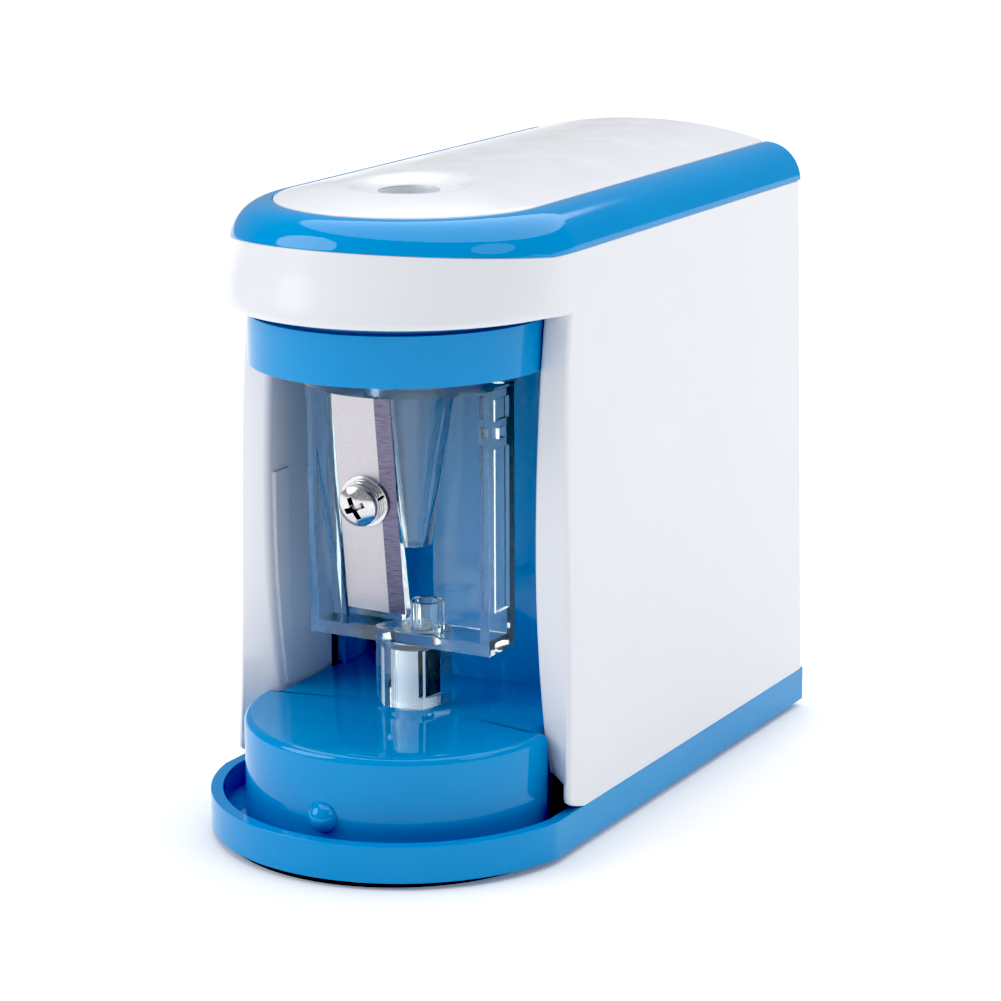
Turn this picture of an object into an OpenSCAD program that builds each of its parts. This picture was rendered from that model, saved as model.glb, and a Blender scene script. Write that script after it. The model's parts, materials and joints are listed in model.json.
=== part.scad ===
// Battery-driven pencil sharpener with an upright rotating cutter.
// Frame: X to the right, Y to the rear, Z up. The origin is on the table
// at the middle of the footprint.

/* [Body] */
// Length from the front of the base to the rear wall
body_l = 107; // [105:0.5:110]
// Width of the base
base_w = 55; // [54.5:0.1:56]
// Width of the body under the top trim
trim_w = 51.2; // [50.6:0.1:51.8]
// Height of the crown of the top plate
body_h = 92.7; // [92:0.1:93.5]
// Thickness of the outer walls
wall = 1.7; // [1.4:0.1:1.9]
// Thickness of the feet under the base
foot_t = 1; // [0.8:0.1:1.5]

/* [Chamber] */
// Radius of the round plinth that covers the gears
plinth_r = 23; // [22.6:0.1:23.4]
// Height of the plinth's top
plinth_z = 17.1; // [17:0.1:17.6]
// Height of the lower face of the bearing ring
ring_z = 68.2; // [68:0.1:69]
// Radius of the bearing ring
ring_r = 21.4; // [20.8:0.1:21.4]
// Height of the lower edge of the nose
nose_z = 76.4; // [76:0.1:77]
// Half width between the two chamber walls
bay_x = 21.5; // [21.4:0.1:22]

/* [Cutter] */
// Distance of the cutter's axis behind the centre of the plinth
cutter_dy = 2.5; // [2.3:0.1:3]
// Radius of the cutter's round flange
flange_r = 15.3; // [15:0.1:15.5]
// Half width of the cutter's frame
frame_x = 14.6; // [14:0.1:14.8]
// Half angle of the pencil's point
point_angle = 9.2; // [8.5:0.1:10]
// Radius of the pencil's way in
pencil_r = 4.3; // [4.1:0.1:4.5]
// Width of the blade
blade_w = 9.2; // [8:0.1:9.4]
// Thickness of the blade
blade_t = 0.6; // [0.4:0.1:0.8]

/* [Gears] */
// Module of all the gears
gear_m = 0.5; // [0.5:0.5:0.5]
// Teeth of the motor pinion
pinion_n = 12; // [12:1:12]
// Teeth of the large wheel of the middle gear
wheel_n = 44; // [44:1:44]
// Teeth of the small wheel of the middle gear
small_n = 15; // [15:1:15]
// Teeth of the drive gear
drive_n = 47; // [47:1:47]

/* [Power] */
// Radius of the motor's can
motor_r = 12.1; // [11:0.1:12.1]
// Length of the motor's can
motor_l = 30.8; // [25:0.1:32]
// Radius of an AA cell
cell_r = 7.15; // [7:0.05:7.2]
// Length of an AA cell without its button
cell_l = 49; // [48.5:0.1:49.5]

/* [Hidden] */
$fn = 96;

front_y = -body_l / 2;
rear_y = body_l / 2;
base_r = 28;
arc_y = front_y + base_r;
axis_y = arc_y + cutter_dy;
chamber_y1 = arc_y + 15.1;
base_floor = foot_t + 1.6;
rim_z = 6.3;
trim_z = 84.6;
trim_rise = 1.9;
trim_fillet = 5.8;
trim_top = trim_z - 0.2 + trim_fillet;
trim_arc_y = arc_y + 3.7;
nose_arc_y = arc_y + 1.6;
nose_w = 51.8;
plate_hw = 19.6;
cavity_x = trim_w / 2 - wall;
running = 0.06;

// Gear train along Y, from the cutter's axis to the motor
middle_y = axis_y + gear_m * (drive_n + small_n) / 2;
motor_y = middle_y + gear_m * (wheel_n + pinion_n) / 2;
wheel_z0 = 4.2;
wheel_z1 = 7.6;
drive_z0 = 8.2;
drive_z1 = 12.4;
pin_r = 1;
screw_r = 1.2;
lever_pin_r = 0.45;
shaft_r = 2.85;
deck_z = plinth_z - 1.8;

// Cutter levels
hex_z = 18;
frame_z0 = 27.2;
frame_z1 = 65;
flange_z1 = 70.6;
cone_z = 62;
cone_r = 4.6;
tip_z = 41;
point_slope = tan(point_angle);
apex_z = cone_z - cone_r / point_slope;
tip_r = (tip_z - apex_z) * point_slope;
frame_y0 = axis_y - 4.2;
frame_y1 = axis_y + 3.3;
blade_edge_x = -1.2;
blade_z0 = 30.2;
blade_l = 33.6;
blade_tilt = 1.6;
screw_z = blade_l / 2 + 0.4;
screw_x = blade_edge_x - blade_w / 2 - 0.2;
screw_shank_r = 1.45;
washer_hole_r = 1.6;
flat_washer_r = 3.8;
flat_washer_t = 0.5;
spring_washer_r = 3.2;
spring_washer_t = 0.8;

// Battery compartment
box_y0 = 19.6;
box_y1 = 50.2;
box_x = 16.6;
box_z0 = 10.5;
box_wall = 1.5;
plate_t = 0.4;
spring_room = 2.6;
button_l = 1.2;
box_z1 = box_z0 + 2 * box_wall + spring_room + cell_l + button_l + plate_t;
cell_xs = [-7.4, 7.4];
cell_ys = [28.6, 43.1];
door_x = 15.2;
door_z1 = box_z1 + 2.4;
hinge_y = rear_y - 1.2;
hinge_z = 12.5;
hinge_r = 1.2;

// Start switch
switch_x = 10.4;
switch_z0 = 79.4;
lever_x = 8.4;
lever_y = axis_y - 7;

WHITE = [0.93, 0.94, 0.96];
BLUE = [0.05, 0.55, 0.85];
CLEAR = [0.85, 0.92, 0.97, 0.4];
STEEL = [0.75, 0.76, 0.78];
BLACK = [0.08, 0.08, 0.09];
BRASS = [0.8, 0.68, 0.35];

// Plan of the body: straight sides and rear, and a round front
module d_plan(r, hw, cy, ry) {
  intersection() {
    union() {
      translate([0, cy]) circle(r);
      translate([-hw, cy]) square([2 * hw, ry - cy]);
    }
    translate([-hw, cy - r]) square([2 * hw, ry - cy + r]);
  }
}

module d_prism(r, hw, cy, ry, z0, z1) {
  translate([0, 0, z0]) linear_extrude(z1 - z0) d_plan(r, hw, cy, ry);
}

module block(x0, x1, y0, y1, z0, z1) {
  translate([x0, y0, z0]) cube([x1 - x0, y1 - y0, z1 - z0]);
}

module rod(x, y, z0, z1, r) {
  translate([x, y, z0]) cylinder(h = z1 - z0, r = r);
}

// A side profile in (y, z), extruded across the whole width
module across(hw) {
  rotate([90, 0, 90]) linear_extrude(2 * hw, center = true) children();
}

// Outer form of the body up to the trim line, with a draft on its sides
module drafted_body() {
  hull() {
    translate([0, 0, rim_z]) linear_extrude(0.01) d_plan(base_w / 2, base_w / 2, arc_y, rear_y, $fn = 160);
    translate([0, 0, nose_z]) linear_extrude(0.01) d_plan(nose_w / 2, nose_w / 2, nose_arc_y, rear_y, $fn = 160);
  }
  hull() {
    translate([0, 0, nose_z]) linear_extrude(0.01) d_plan(nose_w / 2, nose_w / 2, nose_arc_y, rear_y, $fn = 160);
    translate([0, 0, trim_z - 0.2]) linear_extrude(0.01)
      d_plan(trim_w / 2, trim_w / 2, trim_arc_y, rear_y, $fn = 160);
  }
}

// Section of the rounded top edge, from the axis outwards
module crown_section(hw) {
  z0 = trim_z - 0.2;
  square_w = hw - trim_fillet;
  translate([0, z0]) square([square_w, trim_fillet]);
  intersection() {
    translate([square_w, z0]) circle(trim_fillet);
    translate([square_w, z0]) square(trim_fillet);
  }
}

module rounded_top() {
  hw = trim_w / 2;
  translate([0, trim_arc_y, 0]) rotate([0, 0, 180]) rotate_extrude(angle = 180) crown_section(hw);
  translate([0, rear_y, 0]) rotate([90, 0, 0]) linear_extrude(rear_y - trim_arc_y) {
    crown_section(hw);
    mirror([1, 0]) crown_section(hw);
  }
}

// Everything under the line where the white shell meets the trim
module under_trim_line() {
  rise_y = arc_y - 2;
  across(40) polygon([[rear_y + 5, 0], [rear_y + 5, trim_z], [rise_y, trim_z],
    [front_y + 5.5, trim_z + trim_rise], [front_y - 5, trim_z + trim_rise + 1.2], [front_y - 5, 0]]);
}

// The space in front of the bulged edges of the chamber walls
module chamber_front() {
  bulge_r = 225;
  bulge_y = arc_y - 1.5;
  bulge_z = 43;
  across(40) difference() {
    translate([front_y - 10, 0]) square([60, nose_z]);
    translate([bulge_y + bulge_r, bulge_z]) circle(bulge_r, $fn = 360);
  }
}

// At their foot the double chamber walls are only their outer skin
module foot_notch() {
  notch_z = 10.2;
  skin = 1.2;
  block(-base_w / 2 + skin, base_w / 2 - skin, front_y, chamber_y1, 0, notch_z);
}

// Rails on the inside of both walls, which guide the shavings bin
module bin_rails() {
  rail_t = 0.4;
  for (x = [-bay_x - 1, bay_x - rail_t])
    block(x, x + 1 + rail_t, front_y + 20, arc_y + 3.7, plinth_z + 0.2, 49.5);
}

post_spots = [for (x = [-1, 1], y = [22.2, 48]) [x * 21.2, y]];
cover_spots = [for (x = [-17, 17], y = [axis_y, 12]) [x, y]];

module base_tray() {
  rim_t = 1.8;
  boss_r = 2.2;
  color(BLUE) difference() {
    union() {
      difference() {
        d_prism(base_r, base_w / 2, arc_y, rear_y, foot_t, rim_z);
        d_prism(base_r - rim_t, base_w / 2 - rim_t, arc_y, rear_y - rim_t, base_floor, rim_z + 1);
      }
      for (y = [axis_y, middle_y]) rod(0, y, base_floor - 0.1, wheel_z0 - 0.4, boss_r);
    }
    for (y = [axis_y, middle_y]) rod(0, y, foot_t + 0.8, wheel_z0, pin_r);
    for (p = concat(post_spots, cover_spots)) {
      rod(p[0], p[1], 0, rim_z, screw_r);
      translate([p[0], p[1], foot_t]) cylinder(h = 1.2, r1 = screw_r + 1.2, r2 = screw_r);
    }
  }
}

// A countersunk screw that points up, with its head's face at z0 and its tip at z1
module sunk_screw(x, y, z0, z1) {
  difference() {
    union() {
      translate([x, y, z0]) cylinder(h = 1.2, r1 = screw_r + 1.2, r2 = screw_r);
      rod(x, y, z0, z1, screw_r);
    }
    for (a = [0, 90]) translate([x, y, z0 + 0.3]) rotate([0, 0, a]) cube([2.4, 0.45, 0.8], center = true);
  }
}

module body_screws() {
  color(STEEL) for (p = post_spots) sunk_screw(p[0], p[1], foot_t, 16);
}

module cover_screws() {
  color(STEEL) for (p = cover_spots) sunk_screw(p[0], p[1], foot_t, 11);
}

module front_foot() {
  outer_r = 25;
  inner_r = 20;
  pad_y = front_y + 1 + outer_r;
  color(BLACK) difference() {
    rod(0, pad_y, 0, foot_t, outer_r);
    rod(0, pad_y, -1, foot_t + 1, inner_r);
    block(-30, 30, pad_y, 20, -1, foot_t + 1);
  }
}

module rear_feet() {
  color(BLACK) for (x = [-16, 16]) rod(x, 38, 0, foot_t, 4.5);
}

module plinth_plan(inset) {
  step_y = arc_y - 1.9;
  intersection() {
    translate([0, arc_y]) circle(plinth_r - inset);
    translate([-30, -60]) square([60, step_y + 60]);
  }
  translate([-bay_x + 0.3 + inset, step_y - 5]) square([2 * (bay_x - 0.3 - inset), 19 - inset - step_y + 5]);
}

module gear_cover() {
  cover_t = 1.6;
  bump_r = 2.3;
  nose_hole_r = 3.2;
  color(BLUE) difference() {
    union() {
      difference() {
        translate([0, 0, base_floor]) linear_extrude(plinth_z - base_floor) plinth_plan(0);
        translate([0, 0, base_floor - 1]) linear_extrude(deck_z - base_floor + 1) plinth_plan(cover_t);
      }
      for (p = cover_spots) rod(p[0], p[1], base_floor, deck_z + 0.1, 2.2);
      rod(0, axis_y, 13, deck_z + 0.1, shaft_r + 1.6);
      rod(0, middle_y, 13, deck_z + 0.1, 2.4);
      translate([0, arc_y - plinth_r + 0.5, 7.9]) sphere(bump_r);
    }
    rod(0, axis_y, 0, plinth_z + 1, shaft_r + running);
    rod(0, middle_y, 0, deck_z, pin_r);
    rod(0, motor_y, 0, plinth_z + 1, nose_hole_r);
    for (x = [-8, 8]) rod(x, motor_y, 0, plinth_z + 1, 1.2);
    for (p = cover_spots) rod(p[0], p[1], 0, 11, screw_r);
  }
}

module side_shell() {
  ear_x0 = door_x + 0.2;
  ear_x1 = door_x + 3;
  color(WHITE) difference() {
    union() {
      difference() {
        intersection() {
          union() {
            drafted_body();
            rounded_top();
          }
          under_trim_line();
        }
        chamber_front();
        foot_notch();
        // the chamber between its two walls
        block(-bay_x, bay_x, front_y - 5, chamber_y1, 0, nose_z + 1);
        // the inside of the nose, wider below where the bearing ring goes up into it
        d_prism(cavity_x, cavity_x, nose_arc_y + 0.4, rear_y - wall, nose_z - 0.1, 78.6);
        d_prism(cavity_x, cavity_x, trim_arc_y, rear_y - wall, nose_z - 0.1, 90);
        // the rear compartment
        block(-cavity_x, cavity_x, chamber_y1 - 0.1, rear_y - wall, 0, 90);
        // the door's opening
        block(-door_x - 0.2, door_x + 0.2, rear_y - 5, rear_y + 1, hinge_z - hinge_r - 0.3, door_z1 + 0.2);
      }
      for (p = post_spots) rod(p[0], p[1], rim_z, 26, 2.9);
      difference() {
        bin_rails();
        chamber_front();
      }
      for (s = [-1, 1]) mirror([s < 0 ? 1 : 0, 0, 0])
        block(ear_x0, ear_x1, rear_y - 3, rear_y, hinge_z - 2.2, hinge_z + 2.2);
    }
    for (p = post_spots) rod(p[0], p[1], 0, 16, screw_r);
    translate([-door_x - 1.6, hinge_y, hinge_z]) rotate([0, 90, 0])
      cylinder(h = 2 * door_x + 3.2, r = 0.9 + running);
  }
}

module top_trim() {
  ledge_z = 88.2;
  color(BLUE) difference() {
    rounded_top();
    under_trim_line();
    d_prism(cavity_x - 1.2, cavity_x - 1.2, trim_arc_y, rear_y - wall, 80, ledge_z - 1.8);
    d_prism(plate_hw - 2, plate_hw - 2, trim_arc_y, rear_y - wall - 2, 80, 95);
    d_prism(plate_hw, plate_hw, trim_arc_y, rear_y + 1, ledge_z, 95);
  }
}

// Crowned top: a wide arc across, and a gentle fall towards the front
module plate_crown() {
  rise = 2.4;
  crown_r = (plate_hw * plate_hw + rise * rise) / (2 * rise);
  fall_r = 140;
  fall_y = trim_arc_y + 6;
  intersection() {
    translate([0, rear_y + 1, body_h - crown_r]) rotate([90, 0, 0]) cylinder(h = body_l, r = crown_r, $fn = 360);
    across(30) union() {
      translate([fall_y, 0]) square([80, body_h]);
      translate([fall_y, body_h - fall_r]) circle(fall_r, $fn = 360);
    }
  }
}

module top_plate() {
  ledge_z = 88.2;
  fit = 0.1;
  hollow_z = 89.6;
  dish_r = 7.6;
  color(WHITE) difference() {
    intersection() {
      d_prism(plate_hw - fit, plate_hw - fit, trim_arc_y, rear_y - fit, ledge_z, 95);
      plate_crown();
    }
    d_prism(plate_hw - 3, plate_hw - 3, trim_arc_y, rear_y - wall - 2.5, ledge_z - 1, hollow_z);
    rod(0, axis_y, ledge_z - 1, 95, pencil_r);
    translate([0, axis_y, body_h - 1.4]) cylinder(h = 2, r1 = pencil_r + 0.6, r2 = dish_r + 2.2);
  }
}

module inlet_tube() {
  tube_r = 6;
  window_y = 2.6;
  window_z1 = 85;
  color(WHITE) difference() {
    union() {
      rod(0, axis_y, 71.2, 89.6, tube_r);
      rod(0, axis_y, 88.2, 89.6, tube_r + 2.5);
    }
    rod(0, axis_y, window_z1, 95, pencil_r);
    rod(0, axis_y, 70, window_z1, cone_r);
    block(2, 8, axis_y - window_y, axis_y + window_y, 81, window_z1);
  }
}

// Plan of the bearing ring: round in front, square behind and hollowed by the back wall
module ring_plan(front_r) {
  difference() {
    union() {
      translate([0, arc_y]) circle(front_r);
      translate([-bay_x + 0.3, arc_y]) square([2 * bay_x - 0.6, 16.1]);
    }
    translate([0, back_y]) circle(back_r);
  }
}

module bearing_ring() {
  bore_r = flange_r + 0.08;
  bore_top = 74;
  ring_top = 78;
  groove_z = 75.3;
  groove_d = 1.2;
  post_x = 12.6;
  color(BLUE) difference() {
    union() {
      translate([0, 0, ring_z]) linear_extrude(groove_z - ring_z) ring_plan(ring_r);
      translate([0, 0, groove_z]) linear_extrude(ring_top - groove_z) ring_plan(ring_r - groove_d);
      for (y = [-4, 4]) rod(post_x, axis_y + y, ring_top - 0.1, switch_z0, 1.6);
    }
    rod(0, axis_y, ring_z - 1, bore_top, bore_r);
    rod(0, axis_y, ring_z, ring_top + 1, 6.1);
    rod(lever_x, lever_y, 77, 80, lever_pin_r);
  }
}

back_r = 28;
back_y = axis_y + flange_r + 0.4 + back_r;

module back_wall() {
  t = 1.5;
  wing_y1 = 4;
  color(BLUE) translate([0, 0, plinth_z]) linear_extrude(78 - plinth_z) {
    intersection() {
      difference() {
        translate([0, back_y]) circle(back_r);
        translate([0, back_y]) circle(back_r - t);
      }
      translate([-bay_x + 0.3, axis_y]) square([2 * bay_x - 0.6, wing_y1 - axis_y]);
    }
    for (s = [-1, 1]) mirror([s < 0 ? 1 : 0, 0])
      translate([bay_x - 0.3 - t, arc_y + 16.2]) square([t, wing_y1 - arc_y - 16.2]);
  }
}

module motor_can() {
  flat_y = 9.2;
  color(STEEL) difference() {
    union() {
      intersection() {
        rod(0, motor_y, plinth_z, plinth_z + motor_l, motor_r);
        block(-flat_y - 3, flat_y + 3, motor_y - motor_r, motor_y + motor_r, plinth_z, plinth_z + motor_l);
      }
      rod(0, motor_y, plinth_z - 1.4, plinth_z + 0.1, 3.1);
    }
    rod(0, motor_y, 0, 60, pin_r + running);
    for (x = [-8, 8]) rod(x, motor_y, plinth_z - 1, plinth_z + 4, 1.2);
  }
}

module motor_end_cap() {
  z0 = plinth_z + motor_l;
  color(WHITE) difference() {
    union() {
      intersection() {
        rod(0, motor_y, z0, z0 + 2.2, motor_r - 0.8);
        block(-11.6, 11.6, motor_y - 20, motor_y + 20, z0, z0 + 3);
      }
      rod(0, motor_y, z0, z0 + 4, 3.4);
    }
    rod(0, motor_y, 0, z0 + 3, pin_r + running);
    for (x = [-9, 9]) block(x - 1.6, x + 1.6, motor_y - 0.3, motor_y + 0.3, z0 + 0.6, z0 + 5);
  }
}

module motor_terminals() {
  z0 = plinth_z + motor_l;
  color(BRASS) for (x = [-9, 9]) difference() {
    block(x - 1.5, x + 1.5, motor_y - 0.25, motor_y + 0.25, z0 + 0.6, z0 + 7);
    translate([x, motor_y, z0 + 5.6]) rotate([90, 0, 0]) cylinder(h = 2, r = 0.5, center = true);
  }
}

module motor_screws() {
  color(STEEL) for (x = [-8, 8]) difference() {
    union() {
      rod(x, motor_y, deck_z - 1.4, deck_z, 2.2);
      rod(x, motor_y, deck_z - 1.4, plinth_z + 4, 1.2);
    }
    for (a = [0, 90]) translate([x, motor_y, deck_z - 1.2])
      rotate([0, 0, a]) cube([2.2, 0.5, 0.9], center = true);
  }
}

module motor_shaft() {
  color(STEEL) rod(0, motor_y, wheel_z0 - 0.6, plinth_z + motor_l + 2.6, pin_r);
}

// Involute gear form
pressure = 20;
function involute_deg(a) = tan(a) * 180 / PI - a;
function flank_deg(n, r, rb, half) = half + involute_deg(pressure) - (r > rb ? involute_deg(acos(rb / r)) : 0);

module gear_form(n, first_deg) {
  thin = 0.05;
  r = gear_m * n / 2;
  rb = r * cos(pressure);
  half = 90 / n - thin / r * 180 / PI / 2;
  radii = [r - 1.05 * gear_m, max(rb, r - 0.7 * gear_m), r - 0.2 * gear_m, r + 0.3 * gear_m, r + 0.75 * gear_m];
  up = [for (q = radii) [q, -flank_deg(n, q, rb, half)]];
  down = [for (i = [len(radii) - 1:-1:0]) [radii[i], flank_deg(n, radii[i], rb, half)]];
  polygon([for (k = [0:n - 1], p = concat(up, down))
    let (a = first_deg + k * 360 / n + p[1]) p[0] * [cos(a), sin(a)]]);
}

module motor_pinion() {
  gap_at_front = 270 + 180 / pinion_n;
  color(BRASS) translate([0, motor_y, wheel_z0]) difference() {
    linear_extrude(wheel_z1 - wheel_z0 + 1) gear_form(pinion_n, gap_at_front);
    translate([0, 0, -1]) cylinder(h = 10, r = pin_r);
  }
}

module middle_gear() {
  gap_at_front = 270 + 180 / small_n;
  color(WHITE) translate([0, middle_y, 0]) difference() {
    union() {
      translate([0, 0, wheel_z0]) linear_extrude(wheel_z1 - wheel_z0) gear_form(wheel_n, 90);
      translate([0, 0, wheel_z1 - 0.01]) linear_extrude(drive_z1 - wheel_z1 + 0.01) gear_form(small_n, gap_at_front);
    }
    translate([0, 0, wheel_z0 - 1]) cylinder(h = 20, r = pin_r + running);
    // recessed web, which saves plastic
    translate([0, 0, wheel_z0 - 1]) rotate_extrude() translate([4, 0]) square([4.6, 2]);
  }
}

module middle_pin() {
  color(STEEL) rod(0, middle_y, foot_t + 0.8, deck_z - 0.1, pin_r);
}

module drive_pin() {
  color(STEEL) rod(0, axis_y, foot_t + 0.8, drive_z1, pin_r);
}

module drive_gear() {
  color(WHITE) translate([0, axis_y, 0]) difference() {
    union() {
      translate([0, 0, drive_z0]) linear_extrude(drive_z1 - drive_z0) gear_form(drive_n, 90);
      translate([0, 0, wheel_z0 + 0.2]) cylinder(h = drive_z0 - wheel_z0, r = 2.6);
    }
    translate([0, 0, -1]) cylinder(h = 20, r = pin_r + running);
    translate([0, 0, drive_z1 - 1]) rotate_extrude() translate([4.6, 0]) square([4.4, 2]);
  }
}

module drive_shaft() {
  flat = 0.7;
  color(WHITE) difference() {
    rod(0, axis_y, drive_z1, 26, shaft_r);
    // a flat that the cutter's hub turns with
    block(shaft_r - flat, shaft_r + 1, axis_y - 5, axis_y + 5, hex_z + 1, 30);
  }
}

// Everything in front of the plane in which the back of the blade lies
module before_blade(x0, x1) {
  reach = 60;
  translate([0, axis_y, apex_z]) rotate([point_angle, 0, 0])
    block(x0, x1, -reach, 0, -reach, reach);
}

module guide_cone() {
  cone_t = 1.5;
  z1 = frame_z1 + 0.1;
  difference() {
    translate([0, axis_y, tip_z]) cylinder(h = z1 - tip_z, r1 = tip_r + cone_t, r2 = cone_r + cone_t + 0.35);
    translate([0, axis_y, apex_z]) cylinder(h = cone_z - apex_z, r1 = 0, r2 = cone_r);
    rod(0, axis_y, cone_z - 0.01, z1 + 1, cone_r);
  }
}

module cutter_frame() {
  side_t = 1.4;
  foot_plate_t = 1.9;
  hub_r = 5.7;
  hub_turn = 12.6;
  web_x0 = 2.1;
  web_t = 1.2;
  seat_x1 = blade_edge_x - 1.1;
  slot_w = 1.3;
  slot_y = 0.25;
  seat_t = 2.6;
  peg_x = 3.2;
  peg_y = axis_y - 1.6;
  peg_r = 2.4;
  peg_h = 4.3;
  peg_bore_r = 1.5;
  pocket_d = 0.6;
  floor_z = frame_z0 + foot_plate_t;
  color(CLEAR) difference() {
    union() {
      // round flange that turns in the bearing ring
      rod(0, axis_y, frame_z1, flange_z1, flange_r);
      // bottom plate and side walls
      block(-frame_x, frame_x, frame_y0, frame_y1, frame_z0, floor_z);
      for (x = [-frame_x, frame_x - side_t]) block(x, x + side_t, frame_y0, frame_y1, frame_z0, frame_z1 + 0.1);
      // rear web beside the cone
      block(web_x0, frame_x, frame_y1 - web_t, frame_y1, frame_z0, frame_z1 + 0.1);
      // sloping seat that carries the blade
      difference() {
        block(-frame_x, seat_x1, axis_y - 8, frame_y1, floor_z - 0.1, frame_z1 + 0.1);
        before_blade(-30, 30);
        translate([0, seat_t, 0]) difference() {
          block(-40, 40, axis_y - 40, axis_y + 40, 0, 100);
          before_blade(-50, 50);
        }
      }
      // lip beside the blade's back edge
      difference() {
        block(-frame_x, blade_edge_x - blade_w - 0.65, frame_y0, frame_y1 - 2, floor_z - 0.1, frame_z1 + 0.1);
        translate([0, -0.8, 0]) before_blade(-30, 30);
      }
      // guide cone, open where the blade's edge meets the pencil
      difference() {
        guide_cone();
        translate([0, slot_y, 0]) before_blade(blade_edge_x - blade_w, blade_edge_x + slot_w);
      }
      // small hollow peg on the bottom plate
      rod(peg_x, peg_y, floor_z - 0.1, floor_z + peg_h, peg_r);
      // six-sided hub
      translate([0, axis_y, hex_z]) rotate([0, 0, hub_turn])
        cylinder(h = frame_z0 - hex_z + 0.1, r = hub_r, $fn = 6);
    }
    // pencil's way in
    rod(0, axis_y, cone_z, 95, cone_r);
    translate([0, axis_y, apex_z]) cylinder(h = cone_z - apex_z, r1 = 0, r2 = cone_r);
    // bore for the drive shaft, with its flat
    difference() {
      rod(0, axis_y, 10, 26, shaft_r);
      block(shaft_r - 0.7, 6, axis_y - 5, axis_y + 5, hex_z + 1, 30);
    }
    rod(peg_x, peg_y, floor_z + 0.4, floor_z + peg_h + 1, peg_bore_r);
    blade_place() screw_hole();
    // shallow pockets in the outside of the right wall
    for (z = [[floor_z + 4, 56.5], [60.5, 63.5]])
      block(frame_x - pocket_d, frame_x + 1, frame_y0 + 2, frame_y1 - 1.5, z[0], z[1]);
    block(frame_x - 3, frame_x + 1, frame_y0 + 3.2, frame_y0 + 5, 57.8, 59.3);
  }
}

// Puts its children in the blade's own frame: x across it, z along it,
// y 0 at its back and y -blade_t at its front
module blade_place() {
  mid_x = blade_edge_x - blade_w / 2;
  mid_z = blade_l / 2;
  translate([0, axis_y, apex_z]) rotate([point_angle, 0, 0]) translate([mid_x, 0, blade_z0 - apex_z + mid_z])
    rotate([0, blade_tilt, 0]) translate([-mid_x, 0, -mid_z]) children();
}

module screw_hole() {
  translate([screw_x, 4, screw_z]) rotate([90, 0, 0]) cylinder(h = 10, r = screw_shank_r);
}

module blade() {
  bevel_w = 2.2;
  edge_t = 0.08;
  color(STEEL) blade_place() difference() {
    translate([0, 0, 0]) linear_extrude(blade_l) polygon([
      [blade_edge_x - blade_w, 0], [blade_edge_x, 0], [blade_edge_x, -edge_t],
      [blade_edge_x - bevel_w, -blade_t], [blade_edge_x - blade_w, -blade_t]]);
    screw_hole();
  }
}

module flat_washer() {
  color(STEEL) blade_place() translate([screw_x, -blade_t, screw_z]) rotate([90, 0, 0]) difference() {
    cylinder(h = flat_washer_t, r = flat_washer_r);
    translate([0, 0, -1]) cylinder(h = 3, r = washer_hole_r);
  }
}

module spring_washer() {
  front_y = -blade_t - flat_washer_t;
  color(STEEL) blade_place() translate([screw_x, front_y, screw_z]) rotate([90, 0, 0]) difference() {
    cylinder(h = spring_washer_t, r = spring_washer_r);
    translate([0, 0, -1]) cylinder(h = 3, r = washer_hole_r);
    rotate([0, 0, 20]) translate([0, -0.15, -1]) cube([4, 0.3, 3]);
  }
}

module blade_screw() {
  head_y = -blade_t - flat_washer_t - spring_washer_t;
  head_r = 3;
  head_h = 2.2;
  dome_r = 5;
  slot_w = 0.8;
  color(STEEL) blade_place() translate([screw_x, head_y, screw_z]) rotate([90, 0, 0]) difference() {
    union() {
      intersection() {
        cylinder(h = head_h, r = head_r);
        translate([0, 0, head_h - dome_r]) sphere(dome_r);
      }
      translate([0, 0, -5.5]) cylinder(h = 5.6, r = screw_shank_r);
    }
    for (a = [25, 115]) translate([0, 0, head_h]) rotate([0, 0, a]) cube([3.4, slot_w, 2.4], center = true);
  }
}

module battery_box() {
  t = box_wall;
  color(BLACK) {
    difference() {
      block(-box_x, box_x, box_y0, box_y1, box_z0, box_z1);
      block(-box_x + t, box_x - t, box_y0 + t, box_y1 + 1, box_z0 + t, box_z1 - t);
    }
    for (y = [box_y0, box_y1 - 8]) block(-12, 12, y, y + 2, base_floor, box_z0 + 0.1);
  }
}

// Puts its children at each cell's spring end, turned so that +Z points along the cell
module at_cells() {
  for (i = [0, 1], j = [0, 1]) {
    up = (i + j) % 2 == 0;
    translate([cell_xs[i], cell_ys[j], up ? box_z0 + box_wall : box_z1 - box_wall])
      mirror([0, 0, up ? 0 : 1]) children();
  }
}

module cells() {
  button_r = 2.75;
  color([0.2, 0.5, 0.3]) at_cells() translate([0, 0, spring_room]) {
    cylinder(h = cell_l, r = cell_r);
    translate([0, 0, cell_l - 0.1]) cylinder(h = button_l + 0.1, r = button_r);
  }
}

module contact_springs() {
  wire_r = 0.35;
  turns = 4;
  pitch = 0.62;
  color(STEEL) at_cells() for (k = [0:turns - 1]) translate([0, 0, wire_r + k * pitch])
    rotate_extrude($fn = 24) translate([4.2 - 0.3 * k, 0]) circle(wire_r, $fn = 13);
}

module contact_plates() {
  half = 4;
  color(BRASS) at_cells() translate([-half, -half, spring_room + cell_l + button_l])
    cube([2 * half, 2 * half, plate_t]);
}

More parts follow.
